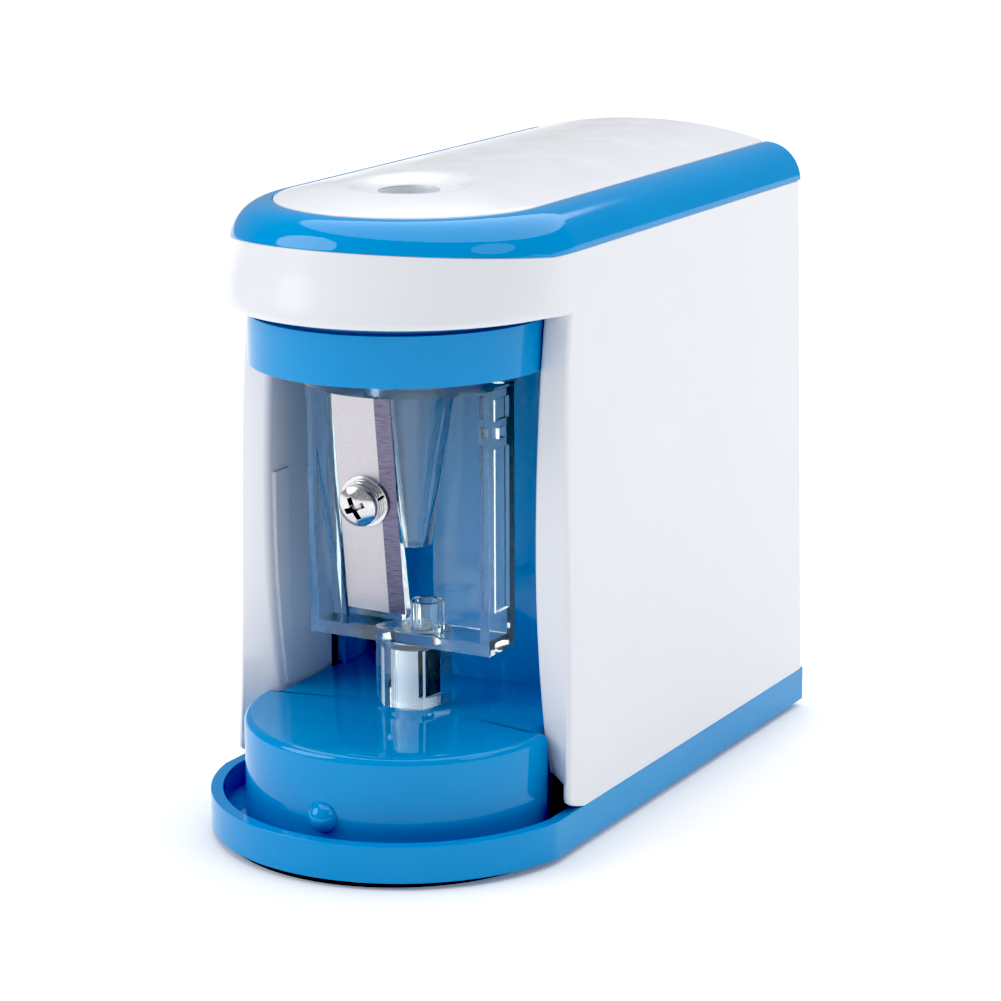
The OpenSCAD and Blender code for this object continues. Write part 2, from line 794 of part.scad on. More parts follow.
module battery_door() {
  door_t = 1.6;
  grip_z = door_z1 - 5;
  color(WHITE) difference() {
    union() {
      block(-door_x, door_x, rear_y - door_t, rear_y, hinge_z, door_z1);
      translate([-door_x, hinge_y, hinge_z]) rotate([0, 90, 0]) cylinder(h = 2 * door_x, r = hinge_r);
      translate([-door_x - 1.5, hinge_y, hinge_z]) rotate([0, 90, 0]) cylinder(h = 2 * door_x + 3, r = 0.9);
    }
    // finger grip: three shallow grooves
    for (k = [0:2]) translate([0, rear_y + 0.9, grip_z - 2.4 * k]) rotate([0, 90, 0])
      cylinder(h = 14, r = 1.5, center = true);
  }
}

module start_switch() {
  color(BLACK) difference() {
    block(switch_x, switch_x + 6, axis_y - 6.4, axis_y + 6.4, switch_z0, switch_z0 + 6.4);
    for (y = [-4, 4]) rod(switch_x + 2.2, axis_y + y, switch_z0 - 1, switch_z0 + 7, 1);
  }
}

module lever_pin() {
  color(STEEL) rod(lever_x, lever_y, 77, 85, lever_pin_r);
}

module switch_lever() {
  arm_z0 = 81.6;
  arm_z1 = 84.4;
  color(STEEL) {
    difference() {
      rod(lever_x, lever_y, arm_z0, arm_z1, 1.1);
      rod(lever_x, lever_y, 70, 95, lever_pin_r + 0.05);
    }
    block(lever_x - 1.1, lever_x - 0.6, lever_y + 0.5, axis_y + 1, arm_z0, arm_z1);
    block(3.2, lever_x - 0.6, axis_y + 0.5, axis_y + 1, arm_z0 + 0.3, arm_z1 - 0.3);
    rod(3.6, axis_y + 0.75, arm_z0 + 0.3, arm_z1 - 0.3, 0.6);
  }
}

base_tray();
front_foot();
rear_feet();
gear_cover();
side_shell();
top_trim();
top_plate();
inlet_tube();
bearing_ring();
back_wall();
body_screws();
cover_screws();
motor_can();
motor_end_cap();
motor_screws();
motor_shaft();
motor_pinion();
middle_gear();
middle_pin();
drive_pin();
drive_gear();
drive_shaft();
cutter_frame();
blade();
blade_screw();
flat_washer();
spring_washer();
battery_box();
cells();
contact_springs();
contact_plates();
battery_door();
start_switch();
switch_lever();
lever_pin();
motor_terminals();
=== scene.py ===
import json
import math

import bmesh
import bpy
from mathutils import Matrix, Vector


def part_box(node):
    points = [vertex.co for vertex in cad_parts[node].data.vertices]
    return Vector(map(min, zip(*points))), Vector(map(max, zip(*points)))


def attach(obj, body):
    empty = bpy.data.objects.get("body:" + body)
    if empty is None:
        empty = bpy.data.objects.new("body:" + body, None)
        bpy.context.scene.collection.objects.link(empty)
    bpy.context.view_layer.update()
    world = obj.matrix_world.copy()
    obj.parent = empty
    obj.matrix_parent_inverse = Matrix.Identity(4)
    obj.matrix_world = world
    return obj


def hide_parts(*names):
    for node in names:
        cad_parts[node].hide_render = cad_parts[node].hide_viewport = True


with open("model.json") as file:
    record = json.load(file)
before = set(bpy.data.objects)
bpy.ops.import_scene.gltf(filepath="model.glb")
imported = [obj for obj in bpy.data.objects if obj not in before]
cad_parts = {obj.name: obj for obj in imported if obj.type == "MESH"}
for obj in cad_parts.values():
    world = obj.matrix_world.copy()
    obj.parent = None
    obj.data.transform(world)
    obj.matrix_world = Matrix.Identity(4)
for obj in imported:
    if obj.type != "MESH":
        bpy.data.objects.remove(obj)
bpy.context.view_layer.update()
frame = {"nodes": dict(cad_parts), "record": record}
nodes = frame["nodes"]

MM = 0.001

# ---------------------------------------------------------------- camera

CAMERA_AT = Vector((0.2274, -0.4144, 0.1582))
CAMERA_TURN = 28.58      # degrees about Z, from looking along +Y
CAMERA_DIP = 13.79       # degrees below the horizon
CAMERA_ROLL = -0.22      # degrees about its own line of sight
CAMERA_LENS = 118.65     # mm
CAMERA_SENSOR = 36.0     # mm
CAMERA_NEAR = 0.01
CAMERA_FAR = 50.0


def make_camera():
    data = bpy.data.cameras.new("camera")
    data.lens = CAMERA_LENS
    data.sensor_width = CAMERA_SENSOR
    data.clip_start = CAMERA_NEAR
    data.clip_end = CAMERA_FAR
    camera = bpy.data.objects.new("camera", data)
    bpy.context.scene.collection.objects.link(camera)
    turn = Matrix.Rotation(math.radians(CAMERA_TURN), 4, "Z")
    dip = Matrix.Rotation(math.radians(90.0 - CAMERA_DIP), 4, "X")
    roll = Matrix.Rotation(math.radians(CAMERA_ROLL), 4, "Z")
    camera.matrix_world = Matrix.Translation(CAMERA_AT) @ turn @ dip @ roll
    bpy.context.scene.camera = camera


# ---------------------------------------------------------------- materials

FINE_RELIEF = 0.00002    # metres, orange-peel on plastic and grinding marks on steel
FLOW_RELIEF = 0.00005    # metres, flow lines in the clear plastic


def new_material(name):
    """(material, its nodes, its links, its shader)."""
    material = bpy.data.materials.new(name)
    material.use_nodes = True
    tree = material.node_tree
    return material, tree.nodes, tree.links, tree.nodes["Principled BSDF"]


def object_coords(made, links, scale=(1.0, 1.0, 1.0)):
    """Object coordinates in millimetres, stretched by scale."""
    coords = made.new("ShaderNodeTexCoord")
    mapping = made.new("ShaderNodeMapping")
    mapping.inputs["Scale"].default_value = [1000.0 * s for s in scale]
    links.new(coords.outputs["Object"], mapping.inputs["Vector"])
    return mapping.outputs["Vector"]


def noise(made, links, vector, scale, detail=2.0):
    texture = made.new("ShaderNodeTexNoise")
    texture.inputs["Scale"].default_value = scale
    texture.inputs["Detail"].default_value = detail
    links.new(vector, texture.inputs["Vector"])
    return texture.outputs["Fac"]


def ramp(made, links, value, stops):
    """A colour ramp through stops, each (position, (r, g, b))."""
    node = made.new("ShaderNodeValToRGB")
    while len(node.color_ramp.elements) < len(stops):
        node.color_ramp.elements.new(0.5)
    for element, (position, colour) in zip(node.color_ramp.elements, stops):
        element.position = position
        element.color = (*colour, 1.0)
    links.new(value, node.inputs["Fac"])
    return node.outputs["Color"]


def span(made, links, value, low, high):
    """Maps 0..1 noise to low..high."""
    node = made.new("ShaderNodeMapRange")
    node.inputs["From Min"].default_value = 0.3
    node.inputs["From Max"].default_value = 0.7
    node.inputs["To Min"].default_value = low
    node.inputs["To Max"].default_value = high
    links.new(value, node.inputs["Value"])
    return node.outputs["Result"]


def bump(made, links, height, strength, distance, shader):
    node = made.new("ShaderNodeBump")
    node.inputs["Strength"].default_value = strength
    node.inputs["Distance"].default_value = distance
    links.new(height, node.inputs["Height"])
    links.new(node.outputs["Normal"], shader.inputs["Normal"])


def moulded_plastic(name, light, dark, rough, level=0.4):
    """Moulded plastic: a faint mottle, uneven gloss and a slight orange-peel."""
    material, made, links, shader = new_material(name)
    vector = object_coords(made, links)
    colour = ramp(made, links, noise(made, links, vector, 0.05, 3.0), [(0.35, dark), (0.65, light)])
    links.new(colour, shader.inputs["Base Color"])
    links.new(span(made, links, noise(made, links, vector, 0.15, 3.0), rough * 0.8, rough * 1.25),
              shader.inputs["Roughness"])
    bump(made, links, noise(made, links, vector, 0.25, 2.0), 0.12, FINE_RELIEF, shader)
    shader.inputs["IOR"].default_value = 1.5
    shader.inputs["Specular IOR Level"].default_value = level
    return material


def clear_plastic(name):
    """Clear polystyrene, a little hazy, with faint flow lines from moulding. Lamps shine through it."""
    material, made, links, shader = new_material(name)
    vector = object_coords(made, links, (1.0, 1.0, 0.3))
    flow = noise(made, links, vector, 0.35, 2.0)
    links.new(ramp(made, links, flow, [(0.3, (0.84, 0.965, 1.0)), (0.7, (0.90, 0.985, 1.0))]),
              shader.inputs["Base Color"])
    shader.inputs["Transmission Weight"].default_value = 0.965
    shader.inputs["IOR"].default_value = 1.42
    links.new(span(made, links, flow, 0.0, 0.02), shader.inputs["Roughness"])
    bump(made, links, flow, 0.15, FLOW_RELIEF, shader)
    through = made.new("ShaderNodeBsdfTransparent")
    through.inputs["Color"].default_value = (0.96, 0.98, 1.0, 1.0)
    path = made.new("ShaderNodeLightPath")
    either = made.new("ShaderNodeMixShader")
    links.new(path.outputs["Is Shadow Ray"], either.inputs["Fac"])
    links.new(shader.outputs["BSDF"], either.inputs[1])
    links.new(through.outputs["BSDF"], either.inputs[2])
    links.new(either.outputs["Shader"], made["Material Output"].inputs["Surface"])
    return material


def ground_steel(name, colour, rough, stretch, depth, fine=3.0, contrast=0.8):
    """Steel with fine grinding marks, which run along the axis that stretch makes short."""
    material, made, links, shader = new_material(name)
    shader.inputs["Metallic"].default_value = 1.0
    vector = object_coords(made, links, stretch)
    marks = noise(made, links, vector, fine, 4.0)
    darker = tuple(contrast * c for c in colour)
    links.new(ramp(made, links, marks, [(0.3, darker), (0.7, colour)]), shader.inputs["Base Color"])
    links.new(span(made, links, marks, rough * 0.75, rough * 1.3), shader.inputs["Roughness"])
    bump(made, links, marks, depth, FINE_RELIEF, shader)
    return material


def recessed_steel(name):
    """Bright steel with painted shade in its recesses: an ambient-occlusion mask darkens its colour there
    to a near-black brown.
    """
    material, made, links, shader = new_material(name)
    shader.inputs["Metallic"].default_value = 1.0
    vector = object_coords(made, links)
    marks = noise(made, links, vector, 2.0, 3.0)
    bare_steel = ramp(made, links, marks, [(0.3, (0.62, 0.62, 0.64)), (0.7, (0.78, 0.78, 0.80))])
    # Painted shade: the ambient-occlusion mask turns the base colour near-black brown in recesses and
    # creases
    hollow = made.new("ShaderNodeAmbientOcclusion")
    hollow.inputs["Distance"].default_value = 0.9 * MM
    painted_recess_shade = made.new("ShaderNodeMix")
    painted_recess_shade.data_type = "RGBA"
    painted_recess_shade.inputs["A"].default_value = (0.03, 0.02, 0.015, 1.0)
    links.new(ramp(made, links, hollow.outputs["AO"], [(0.55, (0.0, 0.0, 0.0)), (0.85, (1.0, 1.0, 1.0))]),
              painted_recess_shade.inputs["Factor"])
    links.new(bare_steel, painted_recess_shade.inputs["B"])
    links.new(painted_recess_shade.outputs["Result"], shader.inputs["Base Color"])
    links.new(span(made, links, marks, 0.12, 0.22), shader.inputs["Roughness"])
    bump(made, links, marks, 0.1, FINE_RELIEF, shader)
    return material


def make_materials():
    light_blue = (0.0, 0.30, 0.69)
    deep_blue = (0.0, 0.28, 0.67)
    return {
        "blue": moulded_plastic("blue_plastic", light_blue, deep_blue, 0.06, 0.5),
        "white": moulded_plastic("white_plastic", (0.80, 0.82, 0.875), (0.79, 0.81, 0.868), 0.2),
        # Near-black, for the thin pad under the front of the base
        "black_foot": moulded_plastic("near_black_pad", (0.012, 0.012, 0.014), (0.008, 0.008, 0.01), 0.6),
        "clear": clear_plastic("clear_plastic"),
        "steel": ground_steel("bright_steel", (0.80, 0.80, 0.82), 0.12, (1.0, 1.0, 1.0), 0.03),
        "screw_steel": recessed_steel("screw_steel"),
        "blade_steel": ground_steel("blade_steel", (0.66, 0.635, 0.68), 0.42, (1.0, 1.0, 2.0), 0.3),
        "blade_bevel": ground_steel("ground_bevel", (0.30, 0.28, 0.40), 0.4, (0.35, 0.35, 5.0), 0.6,
                                    fine=2.0, contrast=0.4),
        "can_steel": ground_steel("plated_steel", (0.68, 0.69, 0.71), 0.30, (1.0, 1.0, 3.0), 0.10),
        "gear_plastic": moulded_plastic("gear_plastic", (0.80, 0.80, 0.77), (0.76, 0.76, 0.73), 0.42),
        "brass": ground_steel("brass", (0.80, 0.58, 0.25), 0.25, (1.0, 1.0, 3.0), 0.10),
        "box_black": moulded_plastic("black_plastic", (0.025, 0.025, 0.028), (0.018, 0.018, 0.02), 0.45),
        "cell_jacket": moulded_plastic("cell_jacket", (0.05, 0.25, 0.14), (0.04, 0.20, 0.11), 0.28),
    }


# ---------------------------------------------------------------- mesh helpers


SAME_POINT = 0.002 * MM            # points closer than this are one
ON_MIDDLE = 1e-7                   # metres, how near to X = 0 counts as on it


class Shape:
    """A mesh under construction, in millimetres."""

    def __init__(self):
        self.points = []
        self.faces = []

    def add(self, points):
        start = len(self.points)
        self.points += points
        return list(range(start, len(self.points)))

    def loft(self, rings, caps=True, keep=None):
        """Joins rings of equally many points with quads. keep(a, b, c, d) says which quads to make."""
        rows = [self.add(ring) for ring in rings]
        count = len(rings[0])
        for low_row, high_row in zip(rows, rows[1:]):
            for i in range(count):
                j = (i + 1) % count
                quad = (low_row[i], low_row[j], high_row[j], high_row[i])
                if keep is None or keep(*[self.points[k] for k in quad]):
                    self.faces.append(quad)
        if caps:
            self.faces.append(tuple(reversed(rows[0])))
            self.faces.append(tuple(rows[-1]))

    def mirrored(self):
        """Adds the same shape again on the other side of X = 0."""
        shift = len(self.points)
        self.points += [(-x, y, z) for x, y, z in self.points]
        self.faces += [tuple(shift + k for k in reversed(face)) for face in list(self.faces)]

    def piece(self, name, material, body, sharp=30.0):
        """The finished object: doubles merged, faces outwards, smooth except at sharp edges."""
        mesh = bpy.data.meshes.new(name)
        work = bmesh.new()
        corners = [work.verts.new([MM * c for c in point]) for point in self.points]
        for face in self.faces:
            work.faces.new([corners[k] for k in face])
        bmesh.ops.remove_doubles(work, verts=work.verts[:], dist=SAME_POINT)
        inside = [f for f in work.faces if all(abs(v.co.x) < ON_MIDDLE for v in f.verts)]
        bmesh.ops.delete(work, geom=inside, context="FACES")
        bmesh.ops.recalc_face_normals(work, faces=work.faces[:])
        work.to_mesh(mesh)
        work.free()
        mesh.polygons.foreach_set("use_smooth", [True] * len(mesh.polygons))
        mesh.set_sharp_from_angle(angle=math.radians(sharp))
        mesh.materials.append(material)
        made = bpy.data.objects.new(name, mesh)
        bpy.context.scene.collection.objects.link(made)
        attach(made, body)
        return made


def mix(a, b, t):
    return a + (b - a) * t


def arc(cx, cy, radius, start, end, steps=5):
    """Points (x, y) along an arc, angles in degrees."""
    turns = [math.radians(mix(start, end, i / (steps - 1))) for i in range(steps)]
    return [(cx + radius * math.cos(t), cy + radius * math.sin(t)) for t in turns]


# ---------------------------------------------------------------- white outer shell

shell_low, shell_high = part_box("side_shell")
FOOT_Z = shell_low.z / MM
REAR_Y = shell_high.y / MM
FOOT_HW = shell_high.x / MM        # half width at the foot
NOSE_Z = 76.4                      # lower edge of the nose
NOSE_HW = 25.9                     # half width there
CROWN_Z = 84.4                     # where the rounded top begins
CROWN_HW = 25.6                    # half width there
CROWN_R = 5.8                      # radius of the rounded top
TRIM_Z = 84.6                      # line between the shell and the blue trim, at the sides
TRIM_RISE = 1.9                    # how far that line climbs to the front
RISE_Y = -27.5                     # where it starts to climb
RISE_LENGTH = 20.5                 # distance over which it climbs
NOSE_Y = -23.9                     # centre of the round front at NOSE_Z
CROWN_Y = -21.8                    # and at CROWN_Z
SEAM_Y = -24.4                     # plane where the nose meets the two side walls
WALL = 1.7
NOSE_WALL = 2.0
SKIN = 1.2                         # wall under NOTCH_Z
REAR_R = 1.2                       # radius of the upright rear corners
EDGE = 0.15                        # tiny rounding beside the trim
LEVELS = (0.25, 0.5, 0.75, 0.88, 1.0)   # heights of the nose's sections, as shares
LIP_R = 1.0                        # rounding of the nose's lower edge
FRONT_Y = -26.6                    # front edge of a side wall, outside
BEND_Z = 35.0                      # height where that edge leaves the upright
FRONT_CUT_Z = 8.3                  # under this its foot is cut back
BULGE_Y = -27.15                   # foremost point of the inner edge
BULGE_Z = 43.0                     # and its height
RAIL_Z = (17.3, 49.5)              # ends of the rail on each inner wall
BAY_HW = 21.5                      # half width of the open chamber
CAVITY_HW = CROWN_HW - WALL
CHAMBER_Y = -10.4                  # rear end of the double walls
NOTCH_Z = 10.2                     # under this the double walls are only their outer skin
DOOR_HW = 15.4
DOOR_Z = (11.0, 69.3)


def half_width(z):
    if z < NOSE_Z:
        return mix(FOOT_HW, NOSE_HW, (z - FOOT_Z) / (NOSE_Z - FOOT_Z))
    rise = max(0.0, z - CROWN_Z)
    inset = CROWN_R - math.sqrt(CROWN_R ** 2 - rise ** 2)
    return mix(NOSE_HW, CROWN_HW, (z - NOSE_Z) / (CROWN_Z - NOSE_Z)) - inset


def round_centre(z):
    return mix(NOSE_Y, CROWN_Y, min(1.0, (z - NOSE_Z) / (CROWN_Z - NOSE_Z)))


def trim_line(y):
    return TRIM_Z + TRIM_RISE * max(0.0, RISE_Y - y) / RISE_LENGTH


def side_x(y, z, inset=0.0):
    """Half width at y: straight, and then round in front of the round front's centre."""
    radius = half_width(z) - inset
    ahead = max(0.0, round_centre(z) - y) if z >= NOSE_Z else 0.0
    return math.sqrt(radius ** 2 - ahead ** 2)


def outer_front(z):
    """The front edge of a side wall, on its outer face: upright, drawn back under the nose."""
    if z > BEND_Z:
        return FRONT_Y + 2.2 * ((z - BEND_Z) / (NOSE_Z - BEND_Z)) ** 4
    y = FRONT_Y - 0.9 * ((BEND_Z - z) / (BEND_Z - FRONT_CUT_Z)) ** 2
    if z < FRONT_CUT_Z:
        y += 4.0 * ((FRONT_CUT_Z - z) / 2.0) ** 2.2
    return y


def inner_front(z):
    """The same edge on the chamber's side, which bulges."""
    return BULGE_Y + (0.00246 if z > BULGE_Z else 0.0037) * (z - BULGE_Z) ** 2


def wall_ring(z, above_nose, door, skin):
    """Section of the right half of the shell at height z."""
    hw = half_width(z)
    if above_nose:
        inner_x = CAVITY_HW - 0.05
        front = [(side_x(SEAM_Y, z, NOSE_WALL), SEAM_Y)] * 5 + [(side_x(SEAM_Y, z), SEAM_Y)] * 5
    else:
        inner_x = hw - SKIN if skin else BAY_HW
        inner_r = 0.35 if skin else 1.0
        outer_r = 0.7
        inner_y = outer_front(z) + 0.1 if skin else inner_front(z)
        front = arc(inner_x + inner_r, inner_y + inner_r, inner_r, 180, 270)
        front += arc(hw - outer_r, outer_front(z) + outer_r, outer_r, 270, 360)
    side = [(side_x(y, z), y) for y in (-23.2, -22.5, -21.8)]
    corner = arc(hw - REAR_R, REAR_Y - REAR_R, REAR_R, 0, 90)
    end_x = DOOR_HW if door else 0.0
    inside = [(end_x, REAR_Y), (end_x, REAR_Y - WALL), (CAVITY_HW, REAR_Y - WALL),
              (CAVITY_HW, CHAMBER_Y), (inner_x, CHAMBER_Y)]
    return [(x, y, z) for x, y in front + side + corner + inside]


def nose_section(turn, fade):
    """Closed section of the nose, turn from 0 at the right seam to 1 at the left."""

    def at(z, inset):
        radius = half_width(z) - inset
        start = math.asin((round_centre(z) - SEAM_Y) / radius)
        angle = mix(start, math.pi - start, turn)
        return (radius * math.cos(angle), round_centre(z) - radius * math.sin(angle), z)

    top = trim_line(at(TRIM_Z, 0.0)[1])
    lip = LIP_R * fade
    outer = []
    for i in range(5):
        a = math.radians(22.5 * i)
        outer.append(at(NOSE_Z + lip * (1.0 - math.cos(a)), lip * (1.0 - math.sin(a))))
    levels = [mix(NOSE_Z, top - EDGE, share) for share in LEVELS]
    outer += [at(z, 0.0) for z in levels] + [at(top, EDGE)]
    inner = [at(z, NOSE_WALL) for z in [top] + levels[::-1] + [NOSE_Z]]
    return outer + inner


def make_shell(material):
    shape = Shape()
    rings = []
    for z in (FOOT_Z, 6.4, 6.6, 6.9, 7.3, 7.8, FRONT_CUT_Z, 9.2, NOTCH_Z):
        rings.append(wall_ring(z, False, False, True))
    rings.append(wall_ring(NOTCH_Z, False, False, False))
    rings.append(wall_ring(DOOR_Z[0], False, False, False))
    steps = 26
    for i in range(steps + 1):
        rings.append(wall_ring(mix(DOOR_Z[0], DOOR_Z[1], i / steps), False, True, False))
    for z in (DOOR_Z[1], 71.5, 74.0, NOSE_Z):
        rings.append(wall_ring(z, False, False, False))
    for z in [NOSE_Z] + [mix(NOSE_Z, TRIM_Z - EDGE, share) for share in LEVELS]:
        rings.append(wall_ring(z, True, False, False))
    rings.append([(x - EDGE if x > CAVITY_HW + 0.5 else x, y, TRIM_Z) for x, y, z in rings[-1]])

    def not_on_seam(*quad):
        return not all(abs(y - SEAM_Y) < 1e-6 and z > NOSE_Z - 1e-6 for x, y, z in quad)

    shape.loft(rings, keep=not_on_seam)
    rail = []
    for i in range(17):
        z = mix(RAIL_Z[0], RAIL_Z[1], i / 16)
        y = inner_front(z) + 1.3
        rail.append([(21.1, y + 0.25, z), (21.25, y, z), (21.8, y, z), (21.8, -21.8, z), (21.25, -21.8, z),
                     (21.1, -22.05, z)])
    shape.loft(rail)
    shape.mirrored()
    stations = 97
    nose = []
    for i in range(stations):
        turn = i / (stations - 1)
        fade = min(1.0, 12.0 * min(turn, 1.0 - turn))
        nose.append(nose_section(turn, fade * fade * (3.0 - 2.0 * fade)))
    shape.loft(nose, caps=False)
    shell = shape.piece("outer_shell", material, "housing")
    edges = shell.modifiers.new("edges", "BEVEL")
    edges.width = 0.2 * MM
    edges.segments = 2
    edges.limit_method = "ANGLE"
    edges.angle_limit = math.radians(55.0)
    edges.harden_normals = False
    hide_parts("side_shell")


# ---------------------------------------------------------------- white top plate

plate_low, plate_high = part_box("top_plate")
PLATE_HW = plate_high.x / MM
PLATE_REAR = plate_high.y / MM
PLATE_Y = plate_low.y / MM + PLATE_HW     # centre of its round front
PLATE_Z0 = plate_low.z / MM
PLATE_Z1 = plate_high.z / MM              # its crown
PLATE_EDGE_Z = 90.3                       # its edge, flush with the trim
PLATE_UNDER_Z = 89.65                     # its underside
HOLE_R = 4.3
DISH_R = 9.5                              # shallow dish around the hole
DISH_D = 1.3
cutter_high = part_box("cutter_frame")[1]
FLANGE_R = 15.3                           # radius of the cutter's flange
HOLE_Y = cutter_high.y / MM - FLANGE_R    # its axis, which is the pencil hole's too


def plate_outline(inset):
    """Straight sides and rear, round front, with the corners at the rear a little rounded."""
    hw = PLATE_HW - inset
    rear = PLATE_REAR - inset
    corner = 1.0
    right = [(hw, mix(PLATE_Y, rear - corner, i / 24)) for i in range(25)]
    right += arc(hw - corner, rear - corner, corner, 0, 90, 6)[1:]
    across = [(mix(hw - corner, corner - hw, i / 20), rear) for i in range(1, 20)]
    left = [(-x, y) for x, y in reversed(right)]
    front = arc(0.0, PLATE_Y, hw, 180, 360, 73)[1:-1]
    return right + across + left + front


def plate_z(x, y):
    """A crown that is highest along the middle and falls to the edge, with a dish at the hole."""
    if y > PLATE_Y:
        out = abs(x) / PLATE_HW
    else:
        out = math.hypot(x, y - PLATE_Y) / PLATE_HW
    z = PLATE_EDGE_Z + (PLATE_Z1 - PLATE_EDGE_Z) * (1.0 - min(1.0, out) ** 2.2)
    away = math.hypot(x, y - HOLE_Y)
    if away < DISH_R:
        depth = 0.5 + 0.5 * math.cos(math.pi * max(0.0, away - HOLE_R) / (DISH_R - HOLE_R))
        z -= DISH_D * depth
    return z


def make_plate(material):
    turns = [math.atan2(y - HOLE_Y, x) for x, y in plate_outline(0.0)]

    def ring_at(share, inset):
        """Points on the top face, share of the way from the hole to the outline."""
        row = []
        for (x, y), turn in zip(plate_outline(inset), turns):
            px = mix(HOLE_R * math.cos(turn), x, share)
            py = mix(HOLE_Y + HOLE_R * math.sin(turn), y, share)
            row.append((px, py, plate_z(px, py)))
        return row

    def hole_at(radius, z):
        return [(radius * math.cos(t), HOLE_Y + radius * math.sin(t), z) for t in turns]

    steps = 40
    lip = 0.25
    rings = [hole_at(HOLE_R, PLATE_UNDER_Z)]
    mouth_z = plate_z(HOLE_R, HOLE_Y)
    rings.append(hole_at(HOLE_R, mouth_z - 0.4))
    rings.append(hole_at(HOLE_R + 0.1, mouth_z - 0.15))
    rings += [ring_at((i / steps) ** 1.6, lip) for i in range(1, steps + 1)]
    rings.append([(x, y, PLATE_EDGE_Z - 0.07) for x, y in plate_outline(0.07)])
    rings.append([(x, y, PLATE_EDGE_Z - 0.25) for x, y in plate_outline(0.0)])
    rings.append([(x, y, PLATE_Z0) for x, y in plate_outline(0.0)])
    rings.append([(x, y, PLATE_Z0) for x, y in plate_outline(2.5)])
    rings.append([(x, y, PLATE_UNDER_Z) for x, y in plate_outline(2.5)])
    rings.append(rings[0])
    shape = Shape()
    shape.loft(rings, caps=False)
    plate = shape.piece("crowned_plate", material, "housing")
    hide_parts("top_plate")


# ---------------------------------------------------------------- blade

BLADE_TILT = 1.6                   # degrees in its own plane
POINT_ANGLE = 9.2                  # degrees that it leans, half the pencil's point
BLADE_W = 9.2
BLADE_L = 33.6
BLADE_T = 0.6
BLADE_EDGE_X = -1.2
BEVEL_W = 2.3                      # ground bevel along the cutting edge
BLADE_EDGE_T = 0.08
BLADE_Z0 = 30.2
CONE_Z = 62.0
CONE_R = 4.6


def blade_frame():
    """Matrix from the blade's own frame, in mm, to the object's frame."""
    apex_z = CONE_Z - CONE_R / math.tan(math.radians(POINT_ANGLE))
    mid_x = BLADE_EDGE_X - BLADE_W / 2
    return (Matrix.Translation((0.0, HOLE_Y, apex_z))
            @ Matrix.Rotation(math.radians(POINT_ANGLE), 4, "X")
            @ Matrix.Translation((mid_x, 0.0, BLADE_Z0 - apex_z + BLADE_L / 2))
            @ Matrix.Rotation(math.radians(BLADE_TILT), 4, "Y")
            @ Matrix.Translation((-mid_x, 0.0, -BLADE_L / 2)))


def make_blade(flat_steel, bevel_steel):
    back = BLADE_EDGE_X - BLADE_W
    chamfer = 0.12
    section = [(back + chamfer, 0.0), (BLADE_EDGE_X, 0.0), (BLADE_EDGE_X, -BLADE_EDGE_T),
               (BLADE_EDGE_X - BEVEL_W, -BLADE_T), (back + chamfer, -BLADE_T), (back, -BLADE_T + chamfer),
               (back, -chamfer)]
    turn = blade_frame()

    def placed(points, z):
        return [tuple(turn @ Vector((x, y, z))) for x, y in points]

    shape = Shape()
    inner = [(mix(x, BLADE_EDGE_X - BLADE_W / 2, 0.02), mix(y, -BLADE_T / 2, 0.3)) for x, y in section]
    steps = 12
    rings = [placed(inner, 0.0)]
    rings += [placed(section, mix(0.1, BLADE_L - 0.1, i / steps)) for i in range(steps + 1)]
    rings.append(placed(inner, BLADE_L))
    shape.loft(rings)
    blade = shape.piece("ground_blade", flat_steel, "cutter", sharp=8.0)
    blade.data.materials.append(bevel_steel)
    back_turn = turn.inverted()
    for face in blade.data.polygons:
        centre = back_turn @ (face.center / MM)
        if centre.x > BLADE_EDGE_X - BEVEL_W and centre.y < -0.5 * BLADE_EDGE_T and centre.y > -BLADE_T:
            if abs(centre.z - BLADE_L / 2) < BLADE_L / 2 - 0.06:
                face.material_index = 1
    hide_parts("blade")


# ---------------------------------------------------------------- plinth over the gears

cover_low, cover_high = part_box("gear_cover")
PLINTH_R = 23.0
PLINTH_Y = -25.5                   # centre of its round front
PLINTH_HW = 21.2                   # half width between the side walls
SHOULDER_Y = -25.7                 # where the round front ends at the side walls
PLINTH_Z0 = cover_low.z / MM
PLINTH_Z1 = cover_high.z / MM
PLINTH_REAR = cover_high.y / MM
SHAFT_HOLE_R = 2.91
BUMP_R = 2.3                       # snap bump on the front
BUMP_Z = 7.9


def plinth_outline(inset):
    """Round front, a step at the side walls, straight sides and rear."""
    radius = PLINTH_R - inset
    end = math.degrees(math.acos((PLINTH_Y - SHOULDER_Y + inset) / radius))
    front = arc(0.0, PLINTH_Y, radius, 270.0 - end, 270.0 + end, 97)
    hw = PLINTH_HW - inset
    rear = PLINTH_REAR - inset
    side = [(hw, mix(SHOULDER_Y + 1.5, rear, i / 20)) for i in range(21)]
    right = [(hw, SHOULDER_Y - inset)] + side
    across = [(mix(hw, -hw, i / 16), rear) for i in range(1, 16)]
    left = [(-x, y) for x, y in reversed(right)]
    return front + right + across + left


